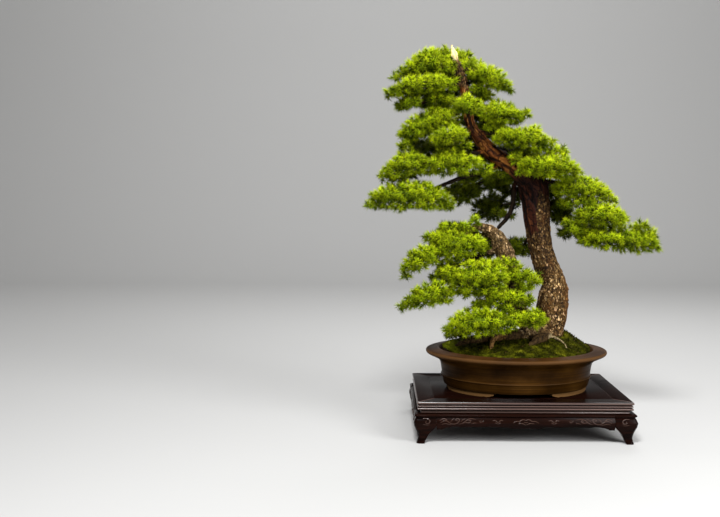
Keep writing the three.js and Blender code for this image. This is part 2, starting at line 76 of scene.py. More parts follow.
def editWhole(*steps):
    # mesh operators, each with its settings, on the whole of the active piece
    bpy.ops.object.mode_set(mode="EDIT")
    bpy.ops.mesh.select_all(action="SELECT")
    for operator, settings in steps:
        getattr(bpy.ops.mesh, operator)(**settings)
    bpy.ops.object.mode_set(mode="OBJECT")


def camel(words):
    return "".join(word.capitalize() for word in words)


def linked(name, data):
    piece = bpy.data.objects.new(name, data)
    bpy.context.collection.objects.link(piece)
    return piece


def copyOfNode(nodeName, pieceName):
    piece = linked(pieceName, nodes[nodeName].data.copy())
    piece.data.materials.clear()
    makeActive(piece)
    editWhole(("remove_doubles", {"threshold": 0.00001}))
    return piece


def applyAll(piece):
    makeActive(piece)
    for modifier in list(piece.modifiers):
        bpy.ops.object.modifier_apply(modifier=modifier.name)


def vertexArray(mesh, key="co"):
    flat = np.empty(len(mesh.vertices) * 3)
    mesh.vertices.foreach_get(key, flat)
    return flat.reshape(-1, 3)


def evenSkin(piece, voxel, factor, iterations):
    # an even skin over the piece, its facets smoothed away
    setAll(piece.modifiers.new("evenSkin", "REMESH"), mode="VOXEL", voxel_size=voxel)
    setAll(piece.modifiers.new("roundFacets", "SMOOTH"), factor=factor, iterations=iterations)
    applyAll(piece)
    return piece.data, vertexArray(piece.data), vertexArray(piece.data, "normal")


def moveVerts(mesh, verts):
    mesh.vertices.foreach_set("co", verts.ravel())
    mesh.update()


def takeApart(piece):
    # the corners and triangles of a scratch piece, which is then removed
    verts = vertexArray(piece.data)
    faces = np.array([list(polygon.vertices) for polygon in piece.data.polygons])
    bpy.data.objects.remove(piece)
    return verts, faces


def meshFromArrays(name, verts, faces):
    mesh = bpy.data.meshes.new(name)
    mesh.vertices.add(len(verts))
    mesh.vertices.foreach_set("co", verts.astype(np.float32).ravel())
    mesh.loops.add(faces.size)
    mesh.loops.foreach_set("vertex_index", faces.astype(np.int32).ravel())
    mesh.polygons.add(len(faces))
    mesh.polygons.foreach_set("loop_start", np.arange(0, faces.size, 3, dtype=np.int32))
    mesh.update(calc_edges=True)
    return mesh


def paint(piece, material):
    piece.data.materials.clear()
    piece.data.materials.append(material)


def paintVerts(mesh, name, *columns):
    # a colour at each corner, from its red, green, blue and alpha
    spread = [np.broadcast_to(column, len(mesh.vertices)) for column in columns]
    attribute = mesh.color_attributes.new(name, "FLOAT_COLOR", "POINT")
    attribute.data.foreach_set("color", np.stack(spread, axis=1).astype(np.float32).ravel())


def nodeMaterial(name, specular=0.5, roughness=0.5):
    material = bpy.data.materials.new(name)
    material.use_nodes = True
    shader = material.node_tree.nodes["Principled BSDF"]
    shader.inputs["Roughness"].default_value = roughness
    shader.inputs["Specular IOR Level"].default_value = specular
    return material, shader


def addNode(near, kind, **settings):
    # a new node in the tree of another node or socket
    return setAll(near.id_data.nodes.new("ShaderNode" + kind), **settings)


def into(node, socket, source):
    source.id_data.links.new(source, node.inputs[socket])


def fed(kind, source, socket, values={}, **settings):
    # a node with one socket linked and others set
    node = addNode(source, kind, **settings)
    into(node, socket, source)
    for key, value in values.items():
        node.inputs[key].default_value = value
    return node


def objectPlace(shader):
    return addNode(shader, "TexCoord").outputs["Object"]


def attributeOf(shader, name):
    return addNode(shader, "Attribute", attribute_name=name).outputs


def channels(colour):
    return fed("SeparateColor", colour, "Color").outputs


def axes(vector):
    return fed("SeparateXYZ", vector, "Vector").outputs


def stretched(vector, *scale):
    return fed("Mapping", vector, "Vector", {"Scale": scale}).outputs["Vector"]


def noiseOn(vector, scale, output="Fac", **settings):
    values = {key.capitalize(): value for key, value in settings.items()}
    return fed("TexNoise", vector, "Vector", {"Scale": scale, **values}).outputs[output]


def cellsOn(vector, scale, feature="F1"):
    return fed("TexVoronoi", vector, "Vector", {"Scale": scale}, feature=feature).outputs


def span(value, start, stop, most=1, shape="LINEAR"):
    # how far a value has gone from one place to another
    limits = {"From Min": start, "From Max": stop, "To Max": most}
    return fed("MapRange", value, "Value", limits, interpolation_type=shape).outputs["Result"]


def ramp(source, *stops):
    # stops are places with a colour, or with one number for a grey
    node = fed("ValToRGB", source, "Fac")
    elements = node.color_ramp.elements
    while len(elements) < len(stops):
        elements.new(0.5)
    for element, (place, colour) in zip(elements, stops):
        element.position = place
        element.color = (*(colour if isinstance(colour, tuple) else (colour,) * 3), 1)
    return node.outputs["Color"]


def twoTone(source, darkTone, paleTone):
    return ramp(source, (0.3, darkTone), (0.7, paleTone))


def mixColour(factor, first, second, blend="MIX"):
    near = next(value for value in (factor, first, second) if hasattr(value, "links"))
    node = addNode(near, "Mix", data_type="RGBA", blend_type=blend)
    for socket, value in (("Factor", factor), ("A", first), ("B", second)):
        if hasattr(value, "links"):
            into(node, socket, value)
        else:
            node.inputs[socket].default_value = value if isinstance(value, float) else (*value, 1)
    return node.outputs["Result"]


def multiplied(colour, other):
    return mixColour(1.0, colour, other, "MULTIPLY")


def rubbedAndHighlitEdges(start, colour, rubbedHighlight):
    # edges painted in another colour: rubbed wear, and a painted highlight
    edge = ramp(addNode(colour, "NewGeometry").outputs["Pointiness"], (start, 0), (0.6, 1))
    return mixColour(edge, colour, rubbedHighlight)


def bumpInto(shader, height, strength, distance, previous=None):
    node = fed("Bump", height, "Height", {"Strength": strength, "Distance": distance})
    if previous is not None:
        into(node, "Normal", previous)
    into(shader, "Normal", node.outputs["Normal"])
    return node.outputs["Normal"]


def speckledMaterial(name, scale, darkTone, paleTone, bump=None, **finish):
    # a material of one fine noise
    material, shader = nodeMaterial(name, **finish)
    grain = noiseOn(objectPlace(shader), scale)
    into(shader, "Base Color", twoTone(grain, darkTone, paleTone))
    if bump:
        bumpInto(shader, grain, *bump)
    return material


# Foliage. One needle is modelled, star-shaped shoots are made of it, and shoots fill each pad
foliage = {
    "needleLength": 0.012,
    "needleRadius": 0.0011,
    "needleFlatness": 0.75,
    "outerNeedles": 24,
    "innerNeedles": 12,
    "innerBreadth": 1.4,
    "goldenTurn": 2.39996,
    "lowestTilt": 102,
    "tiltRange": 84,
    "shootLength": 0.006,
    "shootForms": 10,
    # a layer of shoots: how far apart, how deep, and the share of the painted light in its colour
    "outerLayer": (0.0122, 0, 1),
    "innerLayer": (0.015, 0.0105, 0.3),
    "lumpSize": 0.03,
    "lumpDepth": 0.008,
    "insetSide": 0.004,
    "insetTop": 0.003,
    "coreInset": 0.017,
    "coreSlimmest": 0.3,
    # the core's tone: mostly the shaded colour, a painted shade
    "coreTone": (0.35, 0.4, 0.1),
    "hubArea": 900,
    "hubReach": (0.62, 0.62, 0.35),
    # twig radii: hub to shoot, the shoot's own, middle to hub, and wood to middle
    "twigRadii": (0.0008, 0.0007, 0.0019, 0.0026),
    # where twigs may leave the wood
    "twigHeights": (0.22, 0.8),
    # pads in front or above this height take the sunlit colours; the rest, and the shaded sprays, a copy
    # dimmed by the strength below: painted shade
    "litAbove": 0.6,
    "shadedStrength": 0.38,
    "seed": 11,
}

# Loose sprays that close the crown between the pads, in millimetres: middle and half-size; the shaded ones
# take a painted shade
looseSprays = {
    "apex": [
        (-139, -30, 771, 13, 16, 17), (-173, -40, 722, 33, 20, 11), (-90, -40, 744, 20, 20, 11),
        (-76, -20, 736, 12, 18, 9), (-286, -34, 736, 8, 16, 10), (-271, -34, 772, 9, 16, 9),
        (-163, -34, 824, 11, 14, 11), (-148, -45, 753, 12, 16, 14), (-181, -34, 820, 18, 16, 12),
        (-177, 20, 790, 34, 20, 13), (-252, -34, 780, 16, 16, 13), (-165, 10, 703, 36, 20, 14),
        (-134, 20, 744, 14, 18, 14), (-96, 10, 768, 24, 20, 16), (-72, 10, 735, 20, 20, 14),
        (-151, -45, 790, 9, 14, 10), (-114, -30, 795, 12, 16, 10), (-26, -40, 744, 11, 16, 9),
        (-242, -34, 737, 15, 16, 10), (-163, -30, 756, 12, 16, 10), (-175, -30, 738, 14, 16, 8),
    ],
    "leftTiers": [
        (-249, -40, 624, 15, 20, 10), (-323, -34, 494, 12, 18, 9), (-75, -30, 571, 16, 18, 12),
        (-155, -10, 495, 18, 22, 14), (-124, -60, 622, 14, 16, 6), (-212, -40, 567, 18, 18, 6),
        (-296, -36, 557, 10, 16, 8), (-219, -40, 655, 14, 18, 12), (-264, -24, 553, 22, 16, 9),
    ],
    "rightTiers": [
        (80, -40, 612, 27, 24, 10), (10, -40, 692, 10, 18, 13), (-63, -30, 660, 14, 18, 11),
        (-12, -50, 600, 13, 16, 12), (1, -50, 568, 9, 14, 10), (133, -40, 500, 31, 24, 10),
        (201, -40, 505, 10, 16, 6), (150, -20, 414, 18, 18, 8), (262, -40, 450, 16, 20, 10),
        (284, -36, 432, 14, 20, 10), (296, -30, 406, 11, 18, 11), (104, -20, 500, 16, 18, 12),
        (172, -20, 490, 16, 18, 10), (128, -30, 440, 22, 20, 12), (110, -20, 455, 14, 18, 10),
        (210, -40, 470, 20, 20, 10),
    ],
    "secondTrunk": [
        (-190, -50, 426, 22, 24, 12), (-157, -45, 446, 20, 24, 12), (-119, -50, 446, 14, 18, 8),
        (-100, -46, 461, 12, 16, 9), (-36, -85, 373, 28, 22, 9), (-247, -70, 345, 9, 18, 8),
        (-256, -80, 278, 9, 18, 8), (-116, -90, 307, 26, 20, 8), (14, -90, 292, 10, 20, 14),
        (-180, -60, 340, 17, 20, 11), (-155, -100, 229, 13, 18, 8), (-137, -80, 388, 12, 16, 17),
        (-190, -70, 375, 18, 16, 6), (-163, -90, 291, 13, 16, 7), (-94, -90, 285, 13, 16, 9),
        (4, -90, 319, 17, 16, 7), (-37, -120, 276, 12, 12, 6), (-160, -80, 352, 22, 22, 10),
        (-64, 10, 410, 16, 16, 16), (-80, -80, 306, 14, 16, 10), (-62, -8, 396, 14, 14, 14),
        (-85, -85, 281, 22, 18, 12), (-26, -90, 268, 20, 16, 10), (-153, -65, 331, 20, 16, 10),
        (-73, -68, 318, 20, 16, 10),
    ],
    "shaded": [
        (-139, 60, 528, 18, 24, 10), (-93, 60, 519, 18, 24, 10), (-55, 60, 539, 14, 22, 11),
        (-18, 60, 521, 11, 18, 10), (-36, 60, 474, 20, 20, 10), (11, 60, 498, 7, 14, 12),
        (-3, 60, 467, 7, 14, 7), (-100, 30, 556, 28, 24, 12), (-118, 50, 505, 20, 24, 12),
        (94, 50, 515, 10, 20, 24), (108, 50, 496, 14, 18, 13), (99, 50, 466, 14, 18, 12),
        (112, 45, 431, 14, 20, 13), (8, 100, 408, 11, 18, 9), (22, 100, 382, 18, 18, 7),
        (44, 100, 388, 7, 14, 9), (-214, 20, 742, 22, 20, 12), (-128, 10, 678, 20, 18, 16),
        (80, 40, 530, 12, 20, 22), (10, 60, 520, 10, 18, 14), (-52, 20, 584, 18, 18, 14),
        (-110, -60, 243, 34, 20, 12), (-55, -60, 240, 30, 20, 10), (-108, 20, 640, 16, 20, 16),
        (-78, 20, 600, 18, 20, 16), (-110, 0, 552, 20, 16, 11), (-75, 0, 557, 20, 16, 11),
        (-40, 0, 562, 20, 16, 12), (-20, 10, 552, 14, 16, 12), (73, 10, 563, 22, 18, 13),
        (-232, 0, 745, 18, 16, 14), (-151, 0, 772, 16, 16, 14), (-88, 4, 739, 18, 16, 14),
        (-110, 10, 378, 26, 18, 10), (-70, 5, 384, 22, 16, 11), (-82, -60, 228, 30, 18, 10),
        (-88, -20, 318, 24, 18, 12), (-97, 20, 620, 18, 18, 13), (-89, 15, 690, 16, 16, 14),
        (-136, -60, 213, 26, 18, 8), (-237, -10, 560, 16, 14, 9), (-224, 10, 634, 18, 16, 10),
        (-88, 5, 368, 30, 16, 10),
    ],
}


def taperedSpike():
    # a slim closed pyramid, one unit long
    spike = added("cone", vertices=3, radius1=1, depth=1, end_fill_type="NGON", location=(0, 0, 0.5))
    bpy.ops.object.transform_apply(location=True)
    return takeApart(spike)


def unit(vectors):
    return vectors / np.linalg.norm(vectors, axis=1, keepdims=True)


def turnsTo(directions, spins):
    # one rotation for each direction, with its own spin about itself
    up = unit(directions)
    helper = np.where(np.abs(up[:, 2:3]) < 0.9, np.array([[0, 0, 1.0]]), np.array([[1.0, 0, 0]]))
    side = unit(np.cross(helper, up))
    third = np.cross(up, side)
    turned = side * np.cos(spins)[:, None] + third * np.sin(spins)[:, None]
    return np.stack([turned, np.cross(up, turned), up], axis=2)


def repeated(faces, copies, step):
    return (faces[None] + (np.arange(copies) * step)[:, None, None]).reshape(-1, 3)


def placedSpikes(spike, turns, sizes, starts):
    # a spike at each start, with its own turn and size
    placed = np.einsum("nij,nvj->nvi", turns, spike[0][None] * sizes[:, None]) + starts[:, None]
    return placed.reshape(-1, 3), repeated(spike[1], len(starts), len(spike[0]))


def shootForm(rng, spike, count, breadth):
    # a star: needles stand out all round the tip of a shoot
    along = np.linspace(0, 1, count)
    angle = np.arange(count) * foliage["goldenTurn"] + rng.uniform(0, anyTurn)
    tilt = np.radians(foliage["lowestTilt"] - foliage["tiltRange"] * along + rng.normal(0, 9, count))
    directions = np.stack([np.sin(tilt) * np.cos(angle), np.sin(tilt) * np.sin(angle), np.cos(tilt)], axis=1)
    length = foliage["needleLength"] * rng.uniform(0.78, 1.1, count)
    turns = turnsTo(directions, rng.uniform(0, anyTurn, count))
    radius = np.full(count, foliage["needleRadius"])
    sizes = np.stack([radius * breadth, radius * foliage["needleFlatness"], length], axis=1)
    verts, faces = placedSpikes(spike, turns, sizes, np.outer(along, [0, 0, foliage["shootLength"]]))
    tone = [np.tile(spike[0][:, 2], count), np.repeat(rng.uniform(size=count), len(spike[0]))]
    return verts, faces, np.stack(tone, axis=1)


def padOutline(nodeName):
    # the convex outline of a pad, as triangles
    hull = copyOfNode(nodeName, "padOutline")
    editWhole(("convex_hull", {"delete_unused": True, "join_triangles": False}), triangles)
    return takeApart(hull)


def sprayOutline(spray):
    verts, faces = takeApart(added("ico_sphere", subdivisions=2, radius=1))
    middle, halfSize = np.array(spray).reshape(2, 3) / 1000
    return verts * halfSize + middle + np.array([standX, 0, 0]), faces


def spreadOver(rng, verts, faces, spacing):
    # points over the outline, no two nearer than the spacing, with the face normal at each
    corners = verts[faces]
    first, second = corners[:, 1] - corners[:, 0], corners[:, 2] - corners[:, 0]
    cross = np.cross(first, second)
    area = np.linalg.norm(cross, axis=1) / 2
    normals = cross / np.maximum(2 * area[:, None], 1e-12)
    tries = int(area.sum() / spacing ** 2 * 5)
    chosen = rng.choice(len(faces), tries, p=area / area.sum())
    share = rng.uniform(size=(tries, 2))
    flip = share.sum(axis=1) > 1
    share[flip] = 1 - share[flip]
    points = corners[chosen, 0] + share[:, :1] * first[chosen] + share[:, 1:] * second[chosen]
    kept = []
    cells = {}
    for number, point in enumerate(points):
        x, y, z = np.floor(point / spacing).astype(int)
        near = [other for dx in (-1, 0, 1) for dy in (-1, 0, 1) for dz in (-1, 0, 1)
                for other in cells.get((x + dx, y + dy, z + dz), ())]
        if all(np.sum((points[other] - point) ** 2) > spacing ** 2 for other in near):
            cells.setdefault((x, y, z), []).append(number)
            kept.append(number)
    return points[kept], normals[chosen[kept]]


def lumps(point, size, depth):
    cell = noise.voronoi(Vector(point / size))[0][0]
    return depth * min(1, cell * 1.25) + 0.25 * depth * noise.noise(Vector(point * 150))


def shootPlaces(rng, verts, faces, spacing, sink, innerLight):
    # where the shoots of one layer stand, where they point and how much painted light their colour gets
    middle = (verts.min(axis=0) + verts.max(axis=0)) / 2
    tall = verts[:, 2].max() - verts[:, 2].min()
    points, normals = spreadOver(rng, verts, faces, spacing)
    hollow = np.array([lumps(point, foliage["lumpSize"], foliage["lumpDepth"]) for point in points])
    depth = sink + hollow + foliage["insetSide"] + foliage["insetTop"] * normals[:, 2]
    depth = np.minimum(depth, 0.5 * np.abs(np.sum((points - middle) * normals, axis=1)))
    roots = points - normals * depth[:, None]
    away = roots - middle
    away /= np.linalg.norm(away, axis=1, keepdims=True) + 1e-9
    below = np.clip(-normals[:, 2:3], 0, 1)
    aims = normals * (0.85 - 0.6 * below) + away * np.array([1, 1, 0.4]) * (0.35 + 0.6 * below)
    aims += rng.normal(0, 0.34, points.shape) + np.array([0, 0, 0.1])
    height = (points[:, 2] - middle[2]) / tall
    # painted light: high and upward places are painted lighter, hollows get a painted shade
    light = 0.78 + 0.3 * height + 0.08 * normals[:, 2] - 46 * hollow + rng.normal(0, 0.08, len(points))
    return roots, aims, np.clip(light * innerLight, 0.02, 1)


def joined(parts):
    # sets of corners, triangles, corner tones and material slots as one set
    verts, faces, tones, slots = zip(*parts)
    starts = np.cumsum([0] + [len(block) for block in verts[:-1]])
    faces = [block + start for block, start in zip(faces, starts)]
    slots = [np.broadcast_to(slot, len(block)) for slot, block in zip(slots, faces)]
    return tuple(map(np.concatenate, (verts, faces, tones, slots)))


def spikesBetween(starts, stops, thick, spike):
    # tapering twigs from one set of points to another
    turns = turnsTo(stops - starts, np.zeros(len(starts)))
    lengths = np.linalg.norm(stops - starts, axis=1) * 1.04
    return placedSpikes(spike, turns, np.stack([thick, thick, lengths], axis=1), starts)


def dressOutline(verts, faces, rng, forms, spike, anchors):
    # needles and twigs that fill one outline, with the tone of each corner
    middle = (verts.min(axis=0) + verts.max(axis=0)) / 2
    # the anchor that its stem comes from: the nearest one, with those at its own level first
    origin = anchors[np.argmin(np.linalg.norm((anchors - middle) * np.array([1, 1, 2.5]), axis=1))]
    size = verts.max(axis=0) - verts.min(axis=0)
    outer, inner = (shootPlaces(rng, verts, faces, *foliage[layer]) for layer in ("outerLayer", "innerLayer"))
    parts = []
    for (roots, aims, light), layerForms in zip((outer, inner), forms):
        turns = turnsTo(aims, rng.uniform(0, anyTurn, len(roots)))
        scales = rng.uniform(0.88, 1.12, len(roots))
        kinds = rng.integers(0, len(layerForms), len(roots))
        hue = rng.uniform(size=len(roots))
        for kind, (formVerts, formFaces, formTone) in enumerate(layerForms):
            which = np.nonzero(kinds == kind)[0]
            placed = np.einsum("nij,vj->nvi", turns[which] * scales[which, None, None], formVerts)
            placed += roots[which, None]
            tone = np.empty((len(which), len(formVerts), 3))
            tone[:, :, 0] = formTone[None, :, 0]
            tone[:, :, 1] = 0.55 * formTone[None, :, 1] + 0.45 * hue[which, None]
            # the tone's blue is the painted light
            tone[:, :, 2] = light[which, None]
            needles = repeated(formFaces, len(which), len(formVerts))
            parts.append((placed.reshape(-1, 3), needles, tone.reshape(-1, 3), 0))
    # the slim core that the shoots stand out of, coloured as needles in painted shade to darken the pad's
    # inside
    slim = np.maximum(foliage["coreSlimmest"], 1 - 2 * foliage["coreInset"] / size)
    core = middle + (verts - middle) * slim * rng.uniform(0.9, 1.06, (len(verts), 1))
    parts.append((core, faces, np.tile(foliage["coreTone"], (len(verts), 1)), 0))

    # twigs: each shoot's own, thicker ones from the hubs to the middle, and one to the nearest wood
    roots, aims = (np.concatenate([outer[column], inner[column]]) for column in (0, 1))
    hubCount = max(3, int(size[0] * size[1] * 1e6 / foliage["hubArea"]))
    hubs = middle + (roots[rng.choice(len(roots), hubCount)] - middle) * np.array(foliage["hubReach"])
    nearest = np.argmin(np.linalg.norm(roots[:, None] - hubs, axis=2), axis=1)
    starts = np.concatenate([hubs[nearest], roots, np.repeat(middle[None], hubCount, axis=0), origin[None]])
    stops = np.concatenate([roots, roots + unit(aims) * foliage["shootLength"], hubs, middle[None]])
    thick = np.repeat(foliage["twigRadii"], [len(roots), len(roots), hubCount, 1])
    twigVerts, twigFaces = spikesBetween(starts, stops, thick, spike)
    parts.append((twigVerts, twigFaces, np.full((len(twigVerts), 3), 0.5), 1))
    return joined(parts)


def foliagePiece(name, parts, materials):
    # one mesh from the needles and twigs of one or more outlines
    verts, faces, tones, slots = joined(parts)
    piece = linked(name, meshFromArrays(name, verts, faces))
    for material in materials:
        piece.data.materials.append(material)
    piece.data.polygons.foreach_set("material_index", slots.astype(np.int32))
    paintVerts(piece.data, "tone", *tones.T, 1)
    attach(piece, "root")
    return piece


def needleMaterial(name, strength):
    material, shader = nodeMaterial(name, specular=0.06)
    tone = channels(addNode(shader, "VertexColor", layer_name="tone").outputs["Color"])

    # a strength below 1 dims the colours for the shaded copy, a painted shade
    def dimmedForShade(*colour):
        return tuple(min(1, strength * part) for part in colour)

    # painted light: the tone's blue mixes a painted-shade ramp with a sunlit ramp; along each needle the base
    # is darker than the tip, partly its own colour and partly painted shade between the needles
    shaded = ramp(tone["Red"], (0, dimmedForShade(0.006, 0.016, 0.0006)), (1, dimmedForShade(0.036, 0.075, 0.0015)))
    sunlit = ramp(tone["Red"], (0, dimmedForShade(0.1, 0.16, 0.0015)), (0.3, dimmedForShade(0.5, 0.64, 0.004)),
                  (1, dimmedForShade(0.94, 1.0, 0.03)))
    colour = mixColour(tone["Blue"], shaded, sunlit)
    yellow = mixColour(tone["Green"], (0.46, 0.6, 0.45), (1.1, 1.07, 0.8))
    into(shader, "Base Color", multiplied(colour, yellow))
    return material


def dressFoliage():
    rng = np.random.default_rng(foliage["seed"])
    spike = taperedSpike()
    forms = [[shootForm(rng, spike, foliage[kind], breadth) for number in range(foliage["shootForms"])]
             for kind, breadth in (("outerNeedles", 1), ("innerNeedles", foliage["innerBreadth"]))]
    twig = speckledMaterial("hemlockTwig", 400, (0.05, 0.025, 0.012), (0.14, 0.08, 0.035),
                            specular=0.08, roughness=0.8)
    # the needle material twice: sunlit, and a darker copy that paints shade
    needles = {True: needleMaterial("hemlockNeedle", 1),
               False: needleMaterial("hemlockNeedleShaded", foliage["shadedStrength"])}
    woodVerts = vertexArray(nodes["tree_wood"].data)
    lowest, highest = foliage["twigHeights"]
    woodVerts = woodVerts[(woodVerts[:, 2] > lowest) & (woodVerts[:, 2] < highest)]
    padNames = [name for name in sorted(nodes) if name.startswith("foliage_")]
    padMiddles = np.array([np.mean(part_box(name), axis=0) for name in padNames])
    pieces = []
    for nodeName in padNames:
        low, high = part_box(nodeName)
        # pads at the back and below litAbove take the painted-shade copy
        lit = low[1] + high[1] < 0 or low[2] > foliage["litAbove"]
        part = dressOutline(*padOutline(nodeName), rng, forms, spike, woodVerts)
        name = camel(nodeName.split("_")[1:]) + "Needles"
        pieces.append(foliagePiece(name, [part], (needles[lit], twig)))
        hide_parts(nodeName)
    for area, sprays in looseSprays.items():
        lit = area != "shaded"
        parts = [dressOutline(*sprayOutline(spray), rng, forms, spike, padMiddles) for spray in sprays]
        pieces.append(foliagePiece(area + "LooseSprays", parts, (needles[lit], twig)))
    total = sum(len(piece.data.polygons) for piece in pieces)
    print("foliage dressed,", total, "triangles")


dressFoliage()

# Wood. The trunk's own middle line gives the grain its direction
wood = {
    "voxel": 0.00215,
    "plateSize": 0.0062,
    "flakeScale": 330,
    "stripScale": 125,
    "plateLift": 0.0016,
    "fissureDepth": 0.0028,
    "plateTop": 0.52,
    "jinBottom": 0.812,
    "jinWiden": 0.7,
    "branchSwell": 0.0005,
    "hangSwell": 0.0013,
    "roughTop": 0.735,
    # half the trunk's width at each height, past which the wood is a branch or a root
    "trunkReach": [(0.14, 0.052), (0.28, 0.05), (0.33, 0.038), (0.42, 0.034), (0.53, 0.043), (0.565, 0.036),
                   (0.61, 0.026), (0.66, 0.021), (0.75, 0.018), (0.8, 0.016), (0.85, 0.016)],
    # middle lines, in millimetres
    "hangingBranch": [(-3, 32, 520), (-5, 41, 490), (-15, 46, 466), (-36, 50, 442)],
    "paleRoot": [(70, -40, 207), (82, -45, 205), (93, -55, 199), (99, -69, 191), (100, -80, 180)],
    "archRoot": [(-40, -52, 211), (-50, -62, 211), (-61, -76, 202), (-65, -84, 182)],
    "trunk": [
        (80, 0, 140), (74, 0, 205), (79, 0, 245), (79, 0, 279), (83, 2, 325), (64, 6, 366), (53, 10, 417),
        (46, 14, 472), (39, 14, 528), (25, 10, 556), (-6, 0, 575), (-34, -10, 594), (-61, -18, 611),
        (-90, -26, 641), (-107, -30, 665), (-116, -34, 711), (-121, -36, 750), (-133, -38, 785),
        (-151, -42, 840),
    ],
    "secondTrunk": [
        (45, -14, 165), (29, -20, 226), (10, -24, 253), (-2, -26, 275), (-13, -28, 324), (-25, -30, 375),
        (-36, -30, 403), (-50, -32, 431), (-76, -34, 446), (-98, -38, 452),
    ],
}


def alongLine(points, name):
    # for each point: distance to a middle line, length along it, and the offset across it
    line = np.array(wood[name]) / 1000 + np.array([standX, 0, 0])
    steps = line[1:] - line[:-1]
    lengths = np.linalg.norm(steps, axis=1)
    starts = np.concatenate([[0], np.cumsum(lengths)[:-1]])
    best = np.full(len(points), np.inf)
    along = np.zeros(len(points))
    across = np.zeros((len(points), 3))
    for start, step, length, before in zip(line[:-1], steps, lengths, starts):
        share = np.clip((points - start) @ step / length ** 2, 0, 1)
        offset = points - start - share[:, None] * step
        distance = np.linalg.norm(offset, axis=1)
        nearer = distance < best
        best[nearer] = distance[nearer]
        along[nearer] = (before + share * length)[nearer]
        across[nearer] = offset[nearer]
    return best, along, across


def smoothStep(values, low, high):
    share = np.clip((values - low) / (high - low), 0, 1)
    return share * share * (3 - 2 * share)


def within(points, name, outer, inner):
    # 1 near a middle line, 0 away from it
    return smoothStep(-alongLine(points, name)[0], -outer, -inner)


def grainNoiseAt(point, wide, long):
    return noise.noise(Vector((point[0] * wide, point[1] * wide, point[2] * long)))


def makeWood():
    piece = copyOfNode("tree_wood", "barkedTree")
    mesh, verts, normals = evenSkin(piece, wood["voxel"], 0.5, 4)
    mainDistance, mainAlong, mainAcross = alongLine(verts, "trunk")
    nextDistance, nextAlong, nextAcross = alongLine(verts, "secondTrunk")
    onMain = mainDistance < nextDistance
    along = np.where(onMain, mainAlong, nextAlong)
    across = np.where(onMain[:, None], mainAcross, nextAcross)
    height = verts[:, 2]
    reach = np.interp(height, *zip(*wood["trunkReach"]))
    onTrunk = np.where(onMain, smoothStep(reach - mainDistance, 0, 0.005),
                       smoothStep(-nextDistance, -0.036, -0.03))
    # flaky plates below, stripped fissured wood higher up, and rough again near the tip
    ragged = np.array([grainNoiseAt(vert, 60, 22) for vert in verts])
    leftSide = smoothStep(-across[:, 0] + 0.01 * ragged, -0.002, 0.005)
    platesEnd = wood["plateTop"] - 0.085 * leftSide + 0.022 * ragged
    plates = np.where(onMain, 1 - smoothStep(height, platesEnd - 0.005, platesEnd + 0.005), 1)
    roughStart = wood["roughTop"]
    plates = np.maximum(plates, smoothStep(height + 0.012 * ragged, roughStart, roughStart + 0.02))
    bareTip = smoothStep(height, wood["jinBottom"] - 0.004, wood["jinBottom"] + 0.006)
    verts += across * (wood["jinWiden"] * bareTip * onMain)[:, None]
    lift = np.zeros(len(verts))
    crack = np.zeros(len(verts))
    for number in range(len(verts)):
        grain = Vector((across[number, 0], across[number, 1], along[number]))
        distances, middles = noise.voronoi(Vector((grain.x, grain.y, grain.z * 0.62)) / wood["plateSize"])
        edge = distances[1] - distances[0]
        plate = noise.cell(middles[0] * 7.3)
        flaky = 0.35 + 0.65 * plate - 0.9 * max(0, 0.22 - edge) / 0.22
        wave = grainNoiseAt(grain, 70, 8) + 0.45 * grainNoiseAt(grain, 170, 22)
        fissure = min(1, abs(wave) * 3.4)
        share = plates[number]
        lift[number] = share * flaky * wood["plateLift"] + (1 - share) * (fissure - 1) * wood["fissureDepth"]
        crack[number] = share * min(1, edge * 4) + (1 - share) * fissure
    lift = lift * (0.25 + 0.75 * onTrunk) + wood["branchSwell"] * (1 - onTrunk) * (height > 0.23)
    lift += wood["hangSwell"] * within(verts, "hangingBranch", 0.016, 0.012)
    moveVerts(mesh, verts + normals * lift[:, None])
    grainAttribute = mesh.attributes.new("grain", "FLOAT_VECTOR", "POINT")
    grainData = np.stack([across[:, 0], across[:, 1], along], axis=1).astype(np.float32)
    grainAttribute.data.foreach_set("vector", grainData.ravel())
    paintVerts(mesh, "zone", plates, np.where(onMain, 0, 1) * onTrunk, crack, onTrunk)
    # the two roots whose bark is paler: the thin one at the right and the arch under the lowest pad
    paintVerts(mesh, "rootTone", within(verts, "paleRoot", 0.009, 0.006),
               within(verts, "archRoot", 0.016, 0.011), 0, 0)
    paint(piece, barkMaterial())
    bpy.ops.object.shade_smooth()
    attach(piece, "root")
    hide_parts("tree_wood")
    print("wood made,", len(mesh.polygons), "faces")


